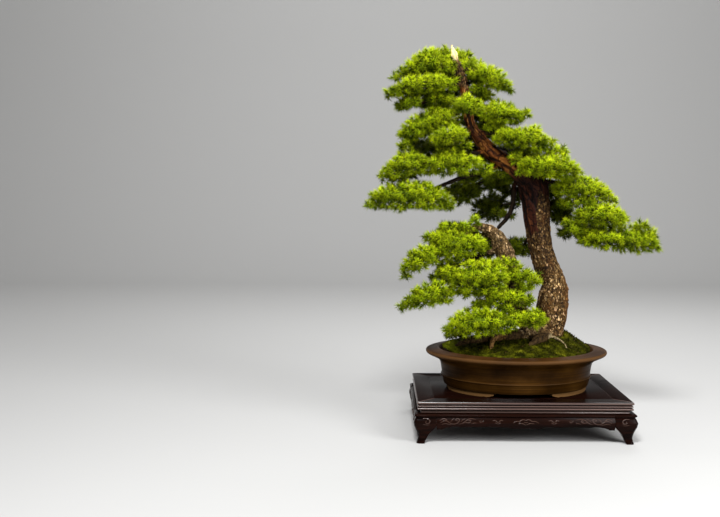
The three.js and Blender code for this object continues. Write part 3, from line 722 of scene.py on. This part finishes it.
def barkMaterial():
    material, shader = nodeMaterial("hemlockBark", specular=0.1, roughness=0.72)
    grain = attributeOf(shader, "grain")["Vector"]
    zone = attributeOf(shader, "zone")
    split = channels(zone["Color"])
    height = axes(objectPlace(shader))["Z"]

    def grainNoise(stretch, scale, detail=4.0):
        return noiseOn(stretched(grain, 1, 1, stretch), scale, detail=detail)

    def level(start, stop, value=height):
        return span(value, start, stop, shape="SMOOTHSTEP")

    fibre = grainNoise(0.1, 260)
    streak = grainNoise(0.06, 90, 2.0)
    patch = grainNoise(0.5, 30, 3.0)
    speck = grainNoise(0.6, 420, 2.0)
    # flaky plates: brown, some of them cream, with dark seams between, and bent out of line
    bent = fed("VectorMath", noiseOn(grain, 130, "Color"), 0, {1: (0.008,) * 3}, operation="MULTIPLY_ADD")
    into(bent, 2, grain)

    def cells(scale, stretch):
        vector = stretched(bent.outputs["Vector"], 1, 1, stretch)
        plate = cellsOn(vector, scale)
        return plate, channels(plate["Color"]), cellsOn(vector, scale, "DISTANCE_TO_EDGE")["Distance"]

    plate, plateTone, seam = cells(wood["flakeScale"], 0.45)
    strip, stripTone, stripSeam = cells(wood["stripScale"], 0.34)
    flaky = ramp(plateTone["Red"], (0, (0.055, 0.029, 0.008)), (0.35, (0.13, 0.074, 0.022)),
                 (0.62, (0.23, 0.145, 0.052)), (0.86, (0.42, 0.3, 0.14)), (1, (0.72, 0.6, 0.37)))
    rusty = mixColour(plateTone["Green"], (0.1, 0.04, 0.01), (0.36, 0.16, 0.035))
    flaky = mixColour(ramp(patch, (0.54, 0), (0.72, 0.75)), flaky, rusty)
    # the bulge at the foot is orange on its right side
    bulge = mixColour(level(0.35, 0.3), (0, 0, 0), (0.8, 0.8, 0.8))
    bulge = mixColour(level(0.016, 0.034, axes(grain)["X"]), (0, 0, 0), bulge)
    flaky = mixColour(bulge, flaky, rusty)
    flaky = mixColour(speck, flaky, (0.2, 0.13, 0.055), "OVERLAY")
    flaky = multiplied(flaky, ramp(level(0.3, 0.46), (0, 1), (1, (0.42, 0.38, 0.3))))
    seamTone = ramp(seam, (0.02, (0.26, 0.21, 0.16)), (0.2, 1))
    flaky = multiplied(flaky, seamTone)
    # stripped wood: orange and red-brown, with dark fibres
    stripped = ramp(fibre, (0.3, (0.01, 0.003, 0.001)), (0.44, (0.09, 0.03, 0.006)),
                    (0.58, (0.28, 0.105, 0.018)), (0.76, (0.56, 0.27, 0.07)))
    redDark = ramp(streak, (0.3, (0.012, 0.003, 0.002)), (0.6, (0.05, 0.014, 0.005)),
                   (0.8, (0.12, 0.04, 0.012)))
    stripped = mixColour(level(0.585, 0.545), stripped, redDark)
    # its long plates: each a little redder or paler, with a dark seam round it
    stripped = multiplied(stripped, ramp(
        stripTone["Red"], (0, (0.36, 0.25, 0.22)), (0.5, (0.75, 0.66, 0.62)), (1, 1)))
    stripped = multiplied(stripped, ramp(stripSeam, (0.015, (0.14, 0.09, 0.07)), (0.11, 1)))
    colour = mixColour(split["Red"], stripped, flaky)
    # second trunk: grey-beige
    grey = ramp(plateTone["Red"], (0, (0.06, 0.04, 0.014)), (0.4, (0.2, 0.14, 0.06)),
                (0.75, (0.36, 0.27, 0.15)), (1, (0.66, 0.56, 0.36)))
    grey = mixColour(patch, grey, (0.24, 0.15, 0.055), "OVERLAY")
    colour = mixColour(split["Green"], colour, multiplied(grey, seamTone))
    # branches: near black; roots: mid brown, one of them pale and one orange
    branchTone = twoTone(speck, (0.004, 0.002, 0.001), (0.02, 0.011, 0.004))
    rootBrown = twoTone(speck, (0.018, 0.009, 0.003), (0.11, 0.065, 0.024))
    branchTone = mixColour(level(0.245, 0.225), branchTone, rootBrown)
    colour = mixColour(zone["Alpha"], branchTone, colour)
    rootTone = channels(attributeOf(shader, "rootTone")["Color"])
    colour = mixColour(rootTone["Red"], colour, twoTone(speck, (0.1, 0.07, 0.03), (0.36, 0.28, 0.15)))
    colour = mixColour(rootTone["Green"], colour, twoTone(speck, (0.07, 0.032, 0.009), (0.3, 0.16, 0.05)))
    # dark cracks, then the bare cream tip
    colour = multiplied(colour, ramp(split["Blue"], (0.05, (0.03, 0.02, 0.015)), (0.6, 1)))
    bare = ramp(fibre, (0.3, (0.34, 0.23, 0.08)), (0.5, (0.74, 0.61, 0.29)), (0.8, (0.9, 0.8, 0.5)))
    into(shader, "Base Color", mixColour(level(wood["jinBottom"] - 0.008, wood["jinBottom"]), colour, bare))
    first = bumpInto(shader, plate["Distance"], 0.6, 0.0012)
    bumpInto(shader, fibre, 0.5, 0.001, first)
    return material


makeWood()

# Pot, built ring on ring from the foot to the rolled lip and down inside
pot = {
    "rings": 112,
    "depthShare": 0.83,
    # half-length and height above the pot's lowest point in tenths of a millimetre, from the foot up and in
    "profile": [
        (600, 80), (1540, 80), (1570, 84), (1590, 98), (1602, 125), (1611, 165), (1634, 250), (1648, 285),
        (1655, 292), (1662, 300), (1660, 312), (1652, 319), (1643, 326), (1640, 345), (1650, 420),
        (1668, 530), (1688, 600), (1716, 640), (1770, 680), (1850, 720), (1920, 752), (1965, 772),
        (1988, 788), (2000, 812), (1999, 836), (1987, 854), (1965, 863), (1900, 873), (1830, 884),
        (1775, 895), (1745, 899), (1715, 894), (1698, 876), (1682, 838), (1640, 777), (1600, 717),
        (1550, 517), (1480, 247), (1400, 187), (600, 187),
    ],
    "drainSpacing": 0.11,
    "drainRadius": 0.015,
    "footHeight": 0.0082,
    "footInside": 0.131,
    "footBreadth": 0.0245,
    # a foot starts at this angle and is one radian long
    "footStart": 0.16,
    "footRise": 0.0045,
    # the share of a foot that its end curls up over, and the bead beside it: height, place and width
    "footEnd": 0.12,
    "footBead": (0.0012, 0.15, 0.025),
    "rimDepth": (0.016, 0.009),
}


def ringStack(base):
    # a closed turned body: rings extruded one above another, then the two middles filled
    profile = [(reach / 10000, height / 10000) for reach, height in pot["profile"]]
    low, narrow = profile[0][1] + base, profile[0][0]
    piece = added("circle", vertices=pot["rings"], radius=narrow, location=(standX, 0, low))
    piece.name = "glazedPot"
    bpy.ops.object.transform_apply(location=True)
    bpy.ops.object.mode_set(mode="EDIT")
    bpy.ops.mesh.select_all(action="SELECT")
    for (radiusBefore, heightBefore), (radius, height) in zip(profile, profile[1:]):
        bpy.ops.mesh.extrude_region_move(TRANSFORM_OT_translate={"value": (0, 0, height - heightBefore)})
        share = radius / radiusBefore
        bpy.ops.transform.resize(value=(share, share, 1), center_override=(standX, 0, base))
    bpy.ops.mesh.edge_face_add()
    bpy.ops.mesh.select_all(action="DESELECT")
    bpy.ops.object.mode_set(mode="OBJECT")
    for vertex in piece.data.vertices:
        away = math.hypot(vertex.co.x - standX, vertex.co.y)
        vertex.select = abs(vertex.co.z - low) < 1e-6 and abs(away - narrow) < 1e-5
    bpy.ops.object.mode_set(mode="EDIT")
    bpy.ops.mesh.edge_face_add()
    bpy.ops.mesh.select_all(action="SELECT")
    bpy.ops.mesh.remove_doubles(threshold=0.000001)
    bpy.ops.mesh.normals_make_consistent(inside=False)
    bpy.ops.object.mode_set(mode="OBJECT")
    return piece


def potFoot(base, signX, signY):
    # a low foot that follows the oval, with a scalloped lower edge
    foot = added("grid", x_subdivisions=28, y_subdivisions=6, size=1, location=(0, 0, 0))
    editWhole(("extrude_region_move", {"TRANSFORM_OT_translate": {"value": (0, 0, 1)}}))
    verts = vertexArray(foot.data)
    share = verts[:, 0] + 0.5
    angle = pot["footStart"] + share
    reach = pot["footInside"] + pot["footBreadth"] * (verts[:, 1] + 0.5)
    edge = np.minimum(share, 1 - share)
    rise = pot["footRise"] * np.clip(1 - edge / pot["footEnd"], 0, 1) ** 1.5
    beadHeight, beadPlace, beadWidth = pot["footBead"]
    rise += beadHeight * np.exp(-((edge - beadPlace) / beadWidth) ** 2)
    height = np.where(verts[:, 2] > 0.5, pot["footHeight"] + 0.004, rise)
    moveVerts(foot.data, np.stack([standX + signX * reach * np.cos(angle),
                                   signY * reach * np.sin(angle) * pot["depthShare"], base + height], axis=1))
    makeActive(foot)
    editWhole(outwards)
    return foot


def clayMaterial():
    material, shader = nodeMaterial("brownClay", specular=0.025)
    place = objectPlace(shader)
    cloud = noiseOn(place, 14, detail=5)
    lines = noiseOn(stretched(place, 0.12, 0.12, 5), 70, detail=3)
    body = ramp(cloud, (0.3, (0.022, 0.009, 0.0012)), (0.5, (0.046, 0.019, 0.0028)),
                (0.7, (0.08, 0.036, 0.0065)))
    body = mixColour(lines, body, (0.046, 0.024, 0.007), "OVERLAY")
    rim = twoTone(cloud, (0.022, 0.008, 0.0016), (0.054, 0.0215, 0.0048))
    rimBottom, rimStart = (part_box("pot")[1][2] - depth for depth in pot["rimDepth"])
    upper = span(axes(place)["Z"], rimBottom, rimStart)
    # the edges, paler on the rim, are painted lighter: a painted highlight along the lip, like wear
    wornHighlight = mixColour(upper, (0.12, 0.062, 0.022), (0.22, 0.115, 0.046))
    into(shader, "Base Color", rubbedAndHighlitEdges(0.52, mixColour(upper, body, rim), wornHighlight))
    into(shader, "Roughness", twoTone(lines, 0.3, 0.46))
    first = bumpInto(shader, lines, 0.25, 0.0008)
    bumpInto(shader, noiseOn(place, 900), 0.2, 0.0003, first)
    return material


def makePot():
    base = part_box("pot")[0][2]
    body = ringStack(base)
    verts = vertexArray(body.data)
    verts[:, 1] *= pot["depthShare"]
    moveVerts(body.data, verts)
    for side in (-1, 1):
        drill = added("cylinder", vertices=32, radius=pot["drainRadius"], depth=0.05,
                      location=(standX + side * pot["drainSpacing"] / 2, 0, base + 0.014))
        drainHole = body.modifiers.new("drainHole", "BOOLEAN")
        setAll(drainHole, operation="DIFFERENCE", solver="EXACT", object=drill)
        applyAll(body)
        bpy.data.objects.remove(drill)
    makeActive(body, [potFoot(base, signX, signY) for signX in (-1, 1) for signY in (-1, 1)])
    bpy.ops.object.join()
    editWhole(triangles)
    bpy.ops.object.shade_smooth_by_angle(angle=math.radians(38))
    paint(body, clayMaterial())
    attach(body, "root")
    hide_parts("pot")
    print("pot made,", len(body.data.polygons), "faces")


makePot()

# Moss over the mound, soil beneath it and a net over each drain hole
mossBed = {
    "voxel": 0.003,
    "cushionHeight": 0.0036,
    "hillLift": 0.007,
    "hillPlace": (0.104, 0.01),
    "hillSpread": (0.04, 0.055),
    "tufts": 4600,
    "blades": 5,
    "tuftLength": 0.0048,
    "bladeRadius": 0.00055,
    "seed": 4,
}


def mossMaterial():
    material, shader = nodeMaterial("cushionMoss", specular=0.04, roughness=0.95)
    place = objectPlace(shader)
    patch = noiseOn(place, 46, detail=6, roughness=0.72)
    fine = noiseOn(place, 330)
    green = ramp(patch, (0.3, (0.006, 0.0065, 0.0003)), (0.44, (0.021, 0.023, 0.0007)),
                 (0.56, (0.066, 0.07, 0.002)), (0.7, (0.23, 0.225, 0.012)))
    green = mixColour(fine, green, (0.13, 0.125, 0.01), "OVERLAY")
    # brighter, yellower green on the knob at the left end
    leftEnd = span(axes(place)["X"], standX - 0.128, standX - 0.152, 0.75)
    green = mixColour(leftEnd, green, (0.26, 0.3, 0.012))
    # brown crumbs where the moss is thin
    crumb = ramp(cellsOn(place, 150)["Distance"], (0.16, 1), (0.24, 0))
    crumb = multiplied(crumb, ramp(patch, (0.42, 1), (0.5, 0)))
    into(shader, "Base Color", mixColour(crumb, green, (0.085, 0.045, 0.014)))
    bumpInto(shader, fine, 0.8, 0.0015)
    return material


def makeMoss():
    piece = copyOfNode("moss", "mossCarpet")
    mesh, verts, normals = evenSkin(piece, mossBed["voxel"], 0.6, 8)
    lift = np.array([noise.noise(Vector(vert * 38)) * 0.6 + abs(noise.noise(Vector(vert * 95))) * 0.7
                     + 0.25 * noise.noise(Vector(vert * 260)) for vert in verts])
    up = np.clip(normals[:, 2], 0, 1)
    verts += normals * (lift * up * mossBed["cushionHeight"])[:, None]
    (hillX, hillY), (wide, deep) = mossBed["hillPlace"], mossBed["hillSpread"]
    hill = np.exp(-((verts[:, 0] - standX - hillX) / wide) ** 2 - ((verts[:, 1] - hillY) / deep) ** 2)
    verts[:, 2] += mossBed["hillLift"] * hill * up
    moveVerts(mesh, verts)
    # tufts: tiny spiky cushions standing on the carpet
    rng = np.random.default_rng(mossBed["seed"])
    tops = np.nonzero(vertexArray(mesh, "normal")[:, 2] > 0.35)[0]
    tufts, blades = mossBed["tufts"], mossBed["blades"]
    roots = verts[rng.choice(tops, tufts)] + rng.normal(0, 0.0008, (tufts, 3))
    aims = rng.normal(0, 0.55, (tufts, blades, 3))
    aims[:, :, 2] = 1
    turns = turnsTo(aims.reshape(-1, 3), rng.uniform(0, anyTurn, tufts * blades))
    length = mossBed["tuftLength"] * rng.uniform(0.5, 1.1, tufts * blades)
    radius = np.full(len(length), mossBed["bladeRadius"])
    starts = np.repeat(roots, blades, axis=0) - np.array([0, 0, 0.0008])
    grown = placedSpikes(taperedSpike(), turns, np.stack([radius, radius, length], axis=1), starts)
    makeActive(piece, [linked("mossTufts", meshFromArrays("mossTufts", *grown))])
    bpy.ops.object.join()
    paint(piece, mossMaterial())
    bpy.ops.object.shade_smooth_by_angle(angle=math.radians(60))
    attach(piece, "root")
    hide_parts("moss")
    print("moss made,", len(piece.data.polygons), "faces")


def soilMaterial():
    material, shader = nodeMaterial("gritSoil", specular=0.1, roughness=0.95)
    grit = cellsOn(objectPlace(shader), 260)
    colour = ramp(channels(grit["Color"])["Red"], (0, (0.02, 0.012, 0.007)),
                  (0.5, (0.055, 0.033, 0.018)), (0.85, (0.11, 0.07, 0.04)), (1, (0.2, 0.17, 0.13)))
    into(shader, "Base Color", colour)
    bumpInto(shader, grit["Distance"], 0.9, 0.002)
    return material


makeMoss()
paint(nodes["soil"], soilMaterial())
drainNet = speckledMaterial("drainNetPlastic", 300, 0.01, 0.03, (0.3, 0.0003), roughness=0.55)
for side in ("left", "right"):
    paint(nodes["drain_screen_" + side], drainNet)
print("soil and nets painted")


# Stand: the mouldings get soft edges, the aprons a carved relief, and all a dark gloss
def bothWays(*stroke):
    return [list(stroke), [(-x, z) for x, z in stroke]]


standWood = {
    "edgeSoftness": 0.0008,
    "railSoftness": 0.0016,
    # finishes: how much each shines, and the colour its edges are painted, rubbed wear with a painted
    # highlight
    "polished": (0.45, (0.23, 0.14, 0.115)),
    "relief": (0.3, (0.05, 0.023, 0.015)),
    "carved": (0.05, (0.018, 0.0062, 0.0038)),
    "flat": (0.006, (0.01, 0.0032, 0.002)),
    # the apron's face: height, and how far it stands out from the board's edge
    "apronFace": [(0.03, 0.002), (0.037, 0.005), (0.045, 0.0065), (0.052, 0.0045), (0.0565, 0.0015)],
    "carvingLevel": 0.0485,
    "carvingWidth": 0.00105,
    "carvingRelief": 0.75,
    "legProud": 0.0009,
    "legBreadth": 0.04,
    # half the side's length, and how far it stands from the middle
    "half": {"front": (0.225, 0.16), "side": (0.16, 0.225)},
    # strokes of each motif in millimetres: along the apron, and up from the carving's level
    "cloudScroll": [
        [(-36, -3), (-30, 2), (-22, 1), (-16, -4), (-8, -6), (0, -3), (4, 3), (0, 6.3), (-5, 4),
         (-3, 0.5), (0, 1.8)],
        [(2, -6), (10, -4), (16, 1), (22, 5), (30, 6), (37, 4)],
        [(14, -1), (20, -3), (26, -1), (27, 2.2), (23, 2.8), (22, 0.8)],
        [(-38, 1), (-33, 5), (-27, 5.6), (-23, 3), (-25, 0.4), (-28, 1.8)],
        [(-34, -6.3), (-27, -3.6), (-20, -6), (-13, -7)],
        [(-15, -1), (-13, 3.5), (-7, 6.6)],
        [(6, -1), (10, 3.5), (16, 6.4)],
        [(28, -5), (33, -2), (38, -3)],
    ],
    "smallSprig": bothWays((-4.5, 1.6), (-1.5, -1), (0, -2.6)) + [[(0, 3.4), (0, -0.4)]],
    "leafSprig": bothWays((-11, 1.2), (-7, 3.4), (-3, 0.6), (0, -2.4))
    + bothWays((-6, -2), (-2.5, -3.6), (0, -5.2)),
    "wingedCloud": bothWays((-27, -3), (-20, 1.6), (-13, 0), (-9, 3.6), (-4, 5), (0, 2.4))
    + bothWays((-17, -4.4), (-9, -2.6), (-4, -5.4), (0, -7)) + [[(-4, -0.6), (0, -3), (4, -0.6)]],
    "legCurl": [
        [(-9, 5), (-2, 6.6), (5, 3.6), (6, -2.4), (0, -5), (-4, -1.4), (-1, 1.4)],
        [(-8, -6), (-2, -8), (5, -7)],
    ],
    # where the motifs stand along a side, from its middle; two of them are mirrored on the right
    "frontCarving": {"cloudScroll": (-0.141, 0.141), "smallSprig": (-0.093, 0.093),
                     "leafSprig": (-0.058, 0.058), "wingedCloud": (0,), "legCurl": (-0.205, 0.205)},
    "sideCarving": {"cloudScroll": (-0.076, 0.076), "wingedCloud": (0,), "legCurl": (-0.14, 0.14)},
    "mirrored": ("cloudScroll", "legCurl"),
}


def rosewoodMaterial(finish):
    shine, rubbedHighlight = standWood[finish]
    material, shader = nodeMaterial(finish + "Rosewood", specular=shine)
    place = objectPlace(shader)
    figure = noiseOn(stretched(place, 0.1, 1, 1), 120, detail=6, distortion=0.8)
    cloud = noiseOn(place, 9)
    colour = ramp(figure, (0.3, (0.0022, 0.0007, 0.0005)), (0.52, (0.008, 0.0021, 0.0011)),
                  (0.72, (0.022, 0.0052, 0.0024)))
    colour = mixColour(cloud, colour, (0.02, 0.0045, 0.002), "OVERLAY")
    # the edges are painted paler, wear with a painted highlight
    into(shader, "Base Color", rubbedAndHighlitEdges(0.51, colour, rubbedHighlight))
    into(shader, "Roughness", twoTone(cloud, 0.16, 0.28))
    bumpInto(shader, figure, 0.12, 0.0004)
    return material


def softenNode(nodeName, pieceName, width, materials):
    # edges rounded over; level faces take the second finish, which shines less
    piece = copyOfNode(nodeName, pieceName)
    setAll(piece.modifiers.new("softEdges", "BEVEL"), width=width, segments=3, limit_method="ANGLE",
           angle_limit=math.radians(24), use_clamp_overlap=True)
    applyAll(piece)
    bpy.ops.object.shade_smooth_by_angle(angle=math.radians(50))
    for material in materials:
        piece.data.materials.append(material)
    for polygon in piece.data.polygons:
        polygon.material_index = 1 if polygon.normal.z > 0.97 else 0
    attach(piece, "root")
    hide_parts(nodeName)


def carvedStroke(points, width):
    # one raised line of the carving: a path with slim ends, made a mesh
    deselectAll()
    bpy.ops.curve.primitive_nurbs_path_add()
    path = bpy.context.object
    path.data.splines.clear()
    spline = path.data.splines.new("NURBS")
    spline.points.add(len(points) - 1)
    for number, (x, z) in enumerate(points):
        share = number / (len(points) - 1)
        setAll(spline.points[number], co=(x * 0.001, 0, z * 0.001, 1),
               radius=0.35 + 0.65 * math.sin(math.pi * share) ** 0.6)
    setAll(spline, use_endpoint_u=True, order_u=3)
    setAll(path.data, resolution_u=6, dimensions="3D", bevel_depth=width, bevel_resolution=1,
           use_fill_caps=True)
    bpy.ops.object.convert(target="MESH")
    return bpy.context.object


def carveSide(name, turn, halves, motifs, material):
    # every stroke is laid on the swelling face of one side and then turned to it
    half, away = halves
    faceHeights, faceOut = zip(*standWood["apronFace"])
    cosine, sine = math.cos(turn), math.sin(turn)
    strokes = []
    for motif, place in [(motif, place) for motif, places in motifs.items() for place in places]:
        onLeg = standWood["legProud"] if abs(place) > half - standWood["legBreadth"] else 0
        mirrored = place > 0 and motif in standWood["mirrored"]
        for points in standWood[motif]:
            stroke = carvedStroke(points, standWood["carvingWidth"])
            verts = vertexArray(stroke.data)
            verts[:, 0] = verts[:, 0] * (-1 if mirrored else 1) + place
            verts[:, 2] += standWood["carvingLevel"]
            out = away + np.interp(verts[:, 2], faceHeights, faceOut) + onLeg
            verts[:, 1] = verts[:, 1] * standWood["carvingRelief"] - out
            moveVerts(stroke.data, np.stack([standX + verts[:, 0] * cosine - verts[:, 1] * sine,
                                             verts[:, 0] * sine + verts[:, 1] * cosine, verts[:, 2]], axis=1))
            strokes.append(stroke)
    makeActive(strokes[0], strokes)
    bpy.ops.object.join()
    carving = bpy.context.object
    carving.name = name
    editWhole(outwards)
    bpy.ops.object.shade_smooth_by_angle(angle=math.radians(60))
    paint(carving, material)
    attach(carving, "root")
    return len(carving.data.polygons)


def makeStand():
    polished, relief, carved, flat = map(rosewoodMaterial, ("polished", "relief", "carved", "flat"))
    count = 0
    for name, turn, kind in (("carvingFront", 0, "front"), ("carvingRight", math.pi / 2, "side"),
                             ("carvingBack", math.pi, "front"), ("carvingLeft", -math.pi / 2, "side")):
        count += carveSide(name, turn, standWood["half"][kind], standWood[kind + "Carving"], relief)
    print("carving made,", count, "faces")
    for nodeName in sorted(nodes):
        kind, *words = nodeName.split("_")
        if kind not in ("frame", "waist", "apron", "leg", "top"):
            continue
        rail = kind in ("frame", "waist")
        softness = standWood["railSoftness" if rail else "edgeSoftness"]
        softenNode(nodeName, kind + camel(words) + "Wood", softness, (polished if rail else carved, flat))
    print("stand made")


makeStand()

# Floor, light and camera
studio = {
    "floorColour": (0.52, 0.52, 0.515),
    "floorHalf": 6.0,
    "sweepStart": 3.2,
    "sweepRadius": 1.6,
    "sweepSteps": 15,
    "worldColour": (0.84, 0.83, 0.82),
    "worldStrength": 0.32,
    # name, place, size, power, and what it is aimed at
    "lamps": (
        ("keyLamp", (-0.45, -1.75, 2.2), 0.6, 84, (0, 0, 0.45)),
        ("fillLamp", (1.6, -1.7, 1.3), 1.2, 58, (0, 0, 0.45)),
        ("backLamp", (0.6, 1.6, 1.9), 1.0, 12, (0, 0, 0.45)),
        ("sweepLamp", (0, 1.3, 3.4), 2.4, 62, (0, 4.8, 1.3)),
    ),
    "lens": 48.3,
    "cameraPlace": (-0.3047, -2.1465, 0.53),
    "pitchDown": 4.11,
    "yawLeft": 1.15,
}


def makeFloor():
    # a floor whose far edge is drawn up in a wide curve, so that it meets no wall
    floor = added("plane", size=2 * studio["floorHalf"], location=(0, 0, 0))
    floor.name = "studioFloor"
    for vertex in floor.data.vertices:
        vertex.co.y = min(vertex.co.y, studio["sweepStart"])
        vertex.select = vertex.co.y > 0
    for edge in floor.data.edges:
        edge.select = all(floor.data.vertices[number].select for number in edge.vertices)
    for polygon in floor.data.polygons:
        polygon.select = False
    bpy.ops.object.mode_set(mode="EDIT")
    bpy.ops.mesh.select_mode(type="EDGE")
    radius, turn = studio["sweepRadius"], math.radians(90 / studio["sweepSteps"])
    for step in range(studio["sweepSteps"]):
        before, after = step * turn, (step + 1) * turn
        bpy.ops.mesh.extrude_region_move(TRANSFORM_OT_translate={"value": (
            0, radius * (math.sin(after) - math.sin(before)), radius * (math.cos(before) - math.cos(after)))})
    bpy.ops.mesh.extrude_region_move(TRANSFORM_OT_translate={"value": (0, 0, 3)})
    bpy.ops.mesh.select_mode(type="VERT")
    bpy.ops.object.mode_set(mode="OBJECT")
    editWhole(outwards)
    bpy.ops.object.shade_smooth()
    material, shader = nodeMaterial("studioFloorPaint", roughness=0.8)
    shader.inputs["Base Color"].default_value = (*studio["floorColour"], 1)
    paint(floor, material)


def makeStudio():
    makeFloor()
    scene = bpy.context.scene
    scene.world = bpy.data.worlds.new("studioLight")
    scene.world.use_nodes = True
    background = scene.world.node_tree.nodes["Background"]
    background.inputs["Color"].default_value = (*studio["worldColour"], 1)
    background.inputs["Strength"].default_value = studio["worldStrength"]
    for name, place, size, power, target in studio["lamps"]:
        lamp = linked(name, setAll(bpy.data.lights.new(name, "AREA"), size=size, energy=power))
        lamp.location = place
        lamp.rotation_euler = (Vector(target) - Vector(place)).to_track_quat("-Z", "Y").to_euler()
    camera = linked("photoCamera", bpy.data.cameras.new("photoCamera"))
    setAll(camera.data, lens=studio["lens"], sensor_width=36, clip_start=0.05)
    x, y, z = studio["cameraPlace"]
    camera.location = (standX + x, y, z)
    camera.rotation_euler = (math.radians(90 - studio["pitchDown"]), 0, math.radians(studio["yawLeft"]))
    scene.camera = camera
    scene.view_settings.view_transform = "Standard"
    print("studio made")


makeStudio()
